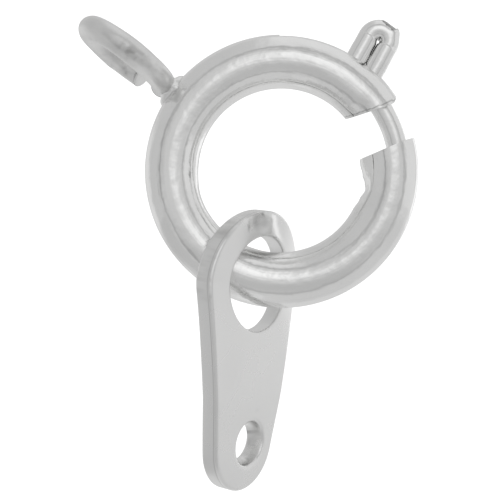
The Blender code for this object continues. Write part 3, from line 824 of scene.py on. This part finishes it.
spring_steel = worn_metal("spring_steel", grain_x, (0.60, 0.60, 0.595), roughness=0.25, haze=0.3,
                          hairlines=0.2, draw_lines=0, dimples=0.4, depth=0.0008)
spring_coil.data.materials.append(spring_steel)
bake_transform(spring_coil)
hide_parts("return_spring")

# Tab: a tag stamped from silver sheet, tapered, with round ends and a hole in each. Its head is bowed
# to the front. It was tumbled and not polished, so its faces are satin and its edges soft.
HEAD_R = 1.61
FOOT_R = 1.03
TAB_PITCH = 3.53
HEAD_HOLE_R = 1.05
FOOT_HOLE_R = 0.50
FOOT_HOLE_TAPER = 0.09
FOOT_HOLE_OFFSET = 0.18
TAB_THICKNESS = 0.42
TAB_BOW = 0.22
TAB_EDGE = 0.06
TAB_TURN = math.radians(54.7)
TAB_LEAN = math.radians(1.5)
TAB_ROLL = math.radians(6.3)
TAB_ANGLE = math.radians(255.1)
TAB_DROP = 0.12
TAB_SHIFT = 0.02
CELL = 0.08                          # of the grid that lets the plate bend
RIM_LINE_SHADE = 0.22                      # painted shade in the line where the left edge turns into the face
RIM_LINE = 0.088                     # how far below the face that line runs
LINE_DARK = 0.005                    # half of that line's width where it is darkest
LINE_REACH = 0.022                   # and where it has died away
LINE_FADE = 0.15                     # to each side of the plate's middle, where the line ends
EDGE_SHADE = 0.13                   # darkness of the painted dark reflections mottled on the edge, left of the head
EDGE_SHADE_RIGHT = -0.2                   # X and Y on the plate where that painted shade ends
EDGE_SHADE_FOOT = -0.6
EDGE_SHADE_PITCH = 0.11
HOLE_MARK = Vector((0.56, -3.37, -0.18))
HOLE_MARK_DIRT = 0.5
HOLE_MARK_DARK = 0.02                # from the mark's middle, where it is whole
HOLE_MARK_REACH = 0.06               # and where it has died away
# Ridge that a blow left on the head's face: places along it on the plate, X and Y
HEAD_RIDGE = ((-0.13, 1.56), (-0.03, 1.25), (0.23, 0.99), (0.54, 0.74))
RIDGE_HEIGHT = 0.11
RIDGE_SPREAD = 0.25
RIDGE_FALL = 0.6                     # shares of its height and spread that the ridge loses along its length
RIDGE_NARROWING = 0.5
PLATE_WOBBLE = 0.006
PLATE_PITCH = 0.9
MARK_UNEVEN = 0.8
MARK_PITCH = 0.25
# Dark marks painted on the plate's face, those on the head standing in for its dark reflections: X, Y,
# half-width and half-length, and darkness
FACE_MARKS = (
    (-0.42, 1.38, 0.24, 0.16, 0.34),
    (-0.70, 1.28, 0.035, 0.17, 0.40),
    (-0.32, 1.50, 0.05, 0.05, 0.45),
    (0.31, -2.82, 0.13, 0.025, 0.30),
)

taper = math.asin((HEAD_R - FOOT_R) / TAB_PITCH)


def inside_outline(x, y):
    """How far a point of the plate lies inside its outline."""
    out = HEAD_R - math.hypot(x, y)
    if y * math.cos(taper) < -abs(x) * math.sin(taper):
        out = HEAD_R - abs(x) * math.cos(taper) + y * math.sin(taper)
    if (y + TAB_PITCH) * math.cos(taper) < -abs(x) * math.sin(taper):
        out = FOOT_R - math.hypot(x, y + TAB_PITCH)
    return out


def from_ridge(place):
    """How far a point of the plate lies from the ridge on its head, and how far along the ridge it is."""
    best = (9, 0)
    for i, (one, two) in enumerate(zip(HEAD_RIDGE, HEAD_RIDGE[1:])):
        span = Vector(two) - Vector(one)
        share = min(max((place - Vector(one)).dot(span) / span.length_squared, 0), 1)
        best = min(best, ((place - Vector(one) - span * share).length, (i + share) / (len(HEAD_RIDGE) - 1)))
    return best


work = bmesh.new()
dirt_and_shade = work.verts.layers.float.new("grime_and_shade")
below_face = work.verts.layers.float.new("below_face")
first = work.verts.new((HEAD_R * math.cos(-taper), HEAD_R * math.sin(-taper), 0))
made = bmesh.ops.spin(work, geom=[first], cent=(0, 0, 0), axis=(0, 0, 1), angle=math.pi + 2 * taper, steps=72,
                      use_duplicate=False)
last = of_kind(made["geom_last"], bmesh.types.BMVert)
foot_start = Vector((FOOT_R * math.cos(math.pi + taper), FOOT_R * math.sin(math.pi + taper) - TAB_PITCH, 0))
made = bmesh.ops.extrude_vert_indiv(work, verts=last)
made["verts"][0].co = foot_start
made = bmesh.ops.spin(work, geom=made["verts"], cent=(0, -TAB_PITCH, 0), axis=(0, 0, 1),
                      angle=math.pi - 2 * taper, steps=52, use_duplicate=False)
last = of_kind(made["geom_last"], bmesh.types.BMVert)
work.edges.new((last[0], first))
bmesh.ops.create_circle(work, segments=80, radius=HEAD_HOLE_R)
bmesh.ops.create_circle(work, segments=56, radius=FOOT_HOLE_R,
                        matrix=Matrix.Translation((FOOT_HOLE_OFFSET, -TAB_PITCH, 0)))
bmesh.ops.triangle_fill(work, use_beauty=True, use_dissolve=False, edges=work.edges)
made = bmesh.ops.extrude_face_region(work, geom=work.faces[:])
bmesh.ops.translate(work, vec=(0, 0, TAB_THICKNESS), verts=of_kind(made["geom"], bmesh.types.BMVert))
bmesh.ops.translate(work, vec=(0, 0, -TAB_THICKNESS / 2), verts=work.verts)
foot_hole = Vector((FOOT_HOLE_OFFSET, -TAB_PITCH, -TAB_THICKNESS / 2))
for vert in work.verts:
    out = vert.co - foot_hole
    if vert.co.z < 0 and out.length < FOOT_HOLE_R * 1.1:
        vert.co -= out.normalized() * FOOT_HOLE_TAPER
bmesh.ops.recalc_face_normals(work, faces=work.faces)
rims = [edge for edge in work.edges if edge.calc_face_angle(0) > 1]
bmesh.ops.bevel(work, geom=rims, offset=TAB_EDGE, segments=4, profile=0.5, affect="EDGES", material=-1)
for i in range(1, math.ceil(2 * HEAD_R / CELL)):
    sawn(work, work.faces[:], (i * CELL - HEAD_R, 0, 0), (1, 0, 0))
for i in range(1, math.ceil((HEAD_R + TAB_PITCH + FOOT_R) / CELL)):
    sawn(work, work.faces[:], (0, HEAD_R - i * CELL, 0), (0, 1, 0))
bow_end = FOOT_R - TAB_PITCH
for vert in work.verts:
    fade = min(max(1 - vert.co.y / bow_end, 0), 1)
    rise = TAB_BOW * (HEAD_HOLE_R / HEAD_R) ** 2 - TAB_BOW * fade * (vert.co.x / HEAD_R) ** 2
    inside = inside_outline(vert.co.x, vert.co.y)
    off_edge = smooth(TAB_EDGE, TAB_EDGE * 2, inside) + smooth(-LINE_FADE, LINE_FADE, vert.co.x)
    vert[below_face] = TAB_THICKNESS / 2 - vert.co.z + HEAD_R * off_edge
    # Painted shade: dark reflections mottled on the edge left of the head
    if inside < TAB_EDGE / 2 and vert.co.x < EDGE_SHADE_RIGHT and vert.co.y > EDGE_SHADE_FOOT:
        vert[dirt_and_shade] = EDGE_SHADE * smooth(-0.1, 0.4, noise.noise(vert.co / EDGE_SHADE_PITCH))
    hole_mark = 1 - smooth(HOLE_MARK_DARK, HOLE_MARK_REACH, (vert.co - HOLE_MARK).length)
    vert[dirt_and_shade] = max(vert[dirt_and_shade], HOLE_MARK_DIRT * hole_mark)
    if vert.co.z > TAB_THICKNESS / 2 - TAB_EDGE * 0.2:
        uneven = 1 + MARK_UNEVEN * noise.noise(vert.co / MARK_PITCH)
        # Dark marks painted on the face; on the head they are painted reflections
        for x, y, half_width, half_length, darkness in FACE_MARKS:
            away = math.hypot((vert.co.x - x) / half_width, (vert.co.y - y) / half_length)
            vert[dirt_and_shade] = max(vert[dirt_and_shade], darkness * uneven * (1 - smooth(0.5, 1.5, away)))
        away, along = from_ridge(vert.co.xy)
        height = RIDGE_HEIGHT * (1 - RIDGE_FALL * along) * smooth(TAB_EDGE / 2, TAB_EDGE * 3, inside)
        rise += height * math.exp(-(away / (RIDGE_SPREAD * (1 - RIDGE_NARROWING * along))) ** 2)
    vert.co.z += rise + PLATE_WOBBLE * noise.noise(vert.co / PLATE_PITCH)
tab_turn = Matrix.Rotation(TAB_ROLL, 4, "Y") @ Matrix.Rotation(TAB_LEAN, 4, "X")
tab_turn = tab_turn @ Matrix.Rotation(TAB_TURN, 4, "Z") @ Matrix.Rotation(math.pi / 2, 4, "X")
tab_place = RING_MIDDLE + (polar(RING_R + TAB_DROP, TAB_ANGLE) - Vector((0, TAB_SHIFT, 0))) * MM
tab_plate = placed(work, "tab_plate", tab_place, tab_turn)
grain_z = straight_grain("upright_grain", (0, math.pi / 2, 0))
tab_silver = worn_metal("tab_silver", grain_z, (0.84, 0.84, 0.835), roughness=0.27, haze=0.10,
                        hairlines=0, draw_lines=0.1, dimples=0.2, depth=0.0005)
tree = tab_silver.node_tree
# Painted shade: a dark line along the left rim where the edge turns into the face, taken with the
# grime_and_shade attribute
rim_distance = tree.nodes.new("ShaderNodeAttribute")
rim_distance.attribute_name = "below_face"
off_line = math_node(tree, "SUBTRACT", rim_distance.outputs["Fac"], RIM_LINE)
line_shade = tree.nodes.new("ShaderNodeMapRange")
line_shade.inputs["From Min"].default_value = LINE_DARK
line_shade.inputs["From Max"].default_value = LINE_REACH
line_shade.inputs["To Min"].default_value = RIM_LINE_SHADE
line_shade.inputs["To Max"].default_value = 0
tree.links.new(math_node(tree, "ABSOLUTE", off_line), line_shade.inputs["Value"])
shade_or_grime = math_node(tree, "MAXIMUM", line_shade.outputs["Result"], tree.nodes["grime_and_shade"].outputs["Fac"])
tree.links.new(shade_or_grime, tree.nodes["darken"].inputs["Factor"])
tab_plate.data.materials.append(tab_silver)
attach(tab_plate, "tab")
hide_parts("tab")

# Studio: a pale sweep of paper below and behind, and a white tent lit from the front, the right and
# above, whose reflections are all that shows on bare metal.
SWEEP_DROP = 14
SWEEP_BACK = 90
SWEEP_RADIUS = 30
SWEEP_HALF = 400
work = bmesh.new()
corner = work.verts.new((-SWEEP_HALF, -SWEEP_HALF, 0))
made = bmesh.ops.extrude_vert_indiv(work, verts=[corner])
made["verts"][0].co = Vector((-SWEEP_HALF, SWEEP_BACK - SWEEP_RADIUS, 0))
made = bmesh.ops.spin(work, geom=made["verts"], cent=(-SWEEP_HALF, SWEEP_BACK - SWEEP_RADIUS, SWEEP_RADIUS),
                      axis=(1, 0, 0), angle=math.pi / 2, steps=24, use_duplicate=False)
last = of_kind(made["geom_last"], bmesh.types.BMVert)
made = bmesh.ops.extrude_vert_indiv(work, verts=last)
made["verts"][0].co.z += SWEEP_HALF
made = bmesh.ops.extrude_edge_only(work, edges=work.edges)
bmesh.ops.translate(work, vec=(2 * SWEEP_HALF, 0, 0), verts=of_kind(made["geom"], bmesh.types.BMVert))
sweep_paper = placed(work, "sweep", Vector((0, 0, cad_box[0].z - SWEEP_DROP * MM)))
paper = bpy.data.materials.new("sweep_paper")
paper.use_nodes = True
paper_shader = paper.node_tree.nodes["Principled BSDF"]
paper_shader.inputs["Base Color"].default_value = (0.3, 0.3, 0.3, 1)
paper_shader.inputs["Roughness"].default_value = 0.9
paper_shader.inputs["Specular IOR Level"].default_value = 0.0
paper_shader.inputs["Emission Color"].default_value = (1, 1, 1, 1)
paper_shader.inputs["Emission Strength"].default_value = 1.0
sweep_paper.data.materials.append(paper)
sweep_paper.visible_glossy = False
sweep_paper.visible_diffuse = False
sweep_paper.visible_shadow = False

world = bpy.data.worlds.new("tent")
bpy.context.scene.world = world
world.use_nodes = True
tree = world.node_tree
tree.nodes.clear()
direction = tree.nodes.new("ShaderNodeTexCoord").outputs["Generated"]
split = tree.nodes.new("ShaderNodeSeparateXYZ")
tree.links.new(direction, split.inputs[0])
azimuth = math_node(tree, "ARCTAN2", split.outputs["X"], math_node(tree, "MULTIPLY", split.outputs["Y"], -1))
elevation = math_node(tree, "ARCSINE", split.outputs["Z"])
TENT_TILT = math.radians(1.5)        # of the middle of the rings below, up from the camera
tilted = tree.nodes.new("ShaderNodeMapping")
tilted.inputs["Rotation"].default_value = (TENT_TILT, 0, 0)
tree.links.new(direction, tilted.inputs["Vector"])
front = tree.nodes.new("ShaderNodeSeparateXYZ")
tree.links.new(tilted.outputs[0], front.inputs[0])
clock = math_node(tree, "ARCTAN2", front.outputs["Z"], front.outputs["X"])
off_front = math_node(tree, "ARCCOSINE", math_node(tree, "MULTIPLY", front.outputs["Y"], -1))


def within(value, middle, width, edge):
    """1 within a width in degrees about a middle, fading to 0 over the edge."""
    off = math_node(tree, "SUBTRACT", value, math.radians(middle))
    off = math_node(tree, "ABSOLUTE", math_node(tree, "WRAP", off, math.pi, -math.pi))
    return ramp(tree, off, math.radians(width / 2 + edge), math.radians(width / 2 - edge))


TENT_LIGHT = 0.78
# Panels of the tent: azimuth from the camera's side, elevation, width, height and soft edge in degrees, and
# the light that each adds
PANELS = (
    (10, 21, 30, 34, 11, 0.42),
    (12, 27, 14, 16, 8, 0.12),
    (142, 6, 24, 34, 4, 0.50),
    (120, 70, 130, 30, 10, 0.04),
    (-5, -28, 84, 32, 9, -0.14),
    (-44, 10, 26, 26, 8, -0.10),
    (-80, 0, 60, 40, 12, -0.06),
)
# Rings about the tent's front: direction from the right and turn from its middle, in degrees, then as above
RINGS = (
    (130, 54, 190, 8, 6, -0.30),
    (310, 54, 170, 8, 6, -0.28),
    (180, 130, 50, 44, 6, 0.16),
    (285, 138, 130, 54, 8, 0.10),
    (40, 92, 110, 60, 5, 0.15),
    (130, 92, 60, 60, 5, -0.06),
    (216, 100, 32, 70, 2, -0.12),
    (256, 100, 14, 60, 3, 0.12),
)
light = TENT_LIGHT
for one, other, rows in ((azimuth, elevation, PANELS), (clock, off_front, RINGS)):
    for turn, lift, width, height, edge, added in rows:
        across = within(one, turn, width, edge)
        patch = math_node(tree, "MULTIPLY", across, within(other, lift, height, edge))
        light = math_node(tree, "MULTIPLY_ADD", patch, added, light)
glow = tree.nodes.new("ShaderNodeBackground")
tree.links.new(light, glow.inputs["Strength"])
backdrop = tree.nodes.new("ShaderNodeBackground")
backdrop.inputs["Color"].default_value = (1, 1, 1, 1)
ray = tree.nodes.new("ShaderNodeLightPath")
choose = tree.nodes.new("ShaderNodeMixShader")
leave = tree.nodes.new("ShaderNodeOutputWorld")
tree.links.new(ray.outputs["Is Camera Ray"], choose.inputs["Fac"])
tree.links.new(glow.outputs[0], choose.inputs[1])
tree.links.new(backdrop.outputs[0], choose.inputs[2])
tree.links.new(choose.outputs[0], leave.inputs["Surface"])

# Camera: level, looking along the ring's axis from the height of the clasp's middle.
CAMERA_DISTANCE = 26
CAMERA_RIGHT = -0.6923               # of the ring's middle
CAMERA_UP = -1.7253
FIELD_WIDTH = 10.989                 # that the frame takes in at the ring's plane
view = bpy.data.cameras.new("camera")
view.sensor_width = 36
view.lens = view.sensor_width * CAMERA_DISTANCE / FIELD_WIDTH
view.clip_start = 1 * MM
view.clip_end = 5
camera = bpy.data.objects.new("camera", view)
camera.location = RING_MIDDLE + Vector((CAMERA_RIGHT, -CAMERA_DISTANCE, CAMERA_UP)) * MM
camera.rotation_euler = (math.pi / 2, 0, 0)
bpy.context.scene.collection.objects.link(camera)
bpy.context.scene.camera = camera
bpy.context.scene.view_settings.view_transform = "Standard"
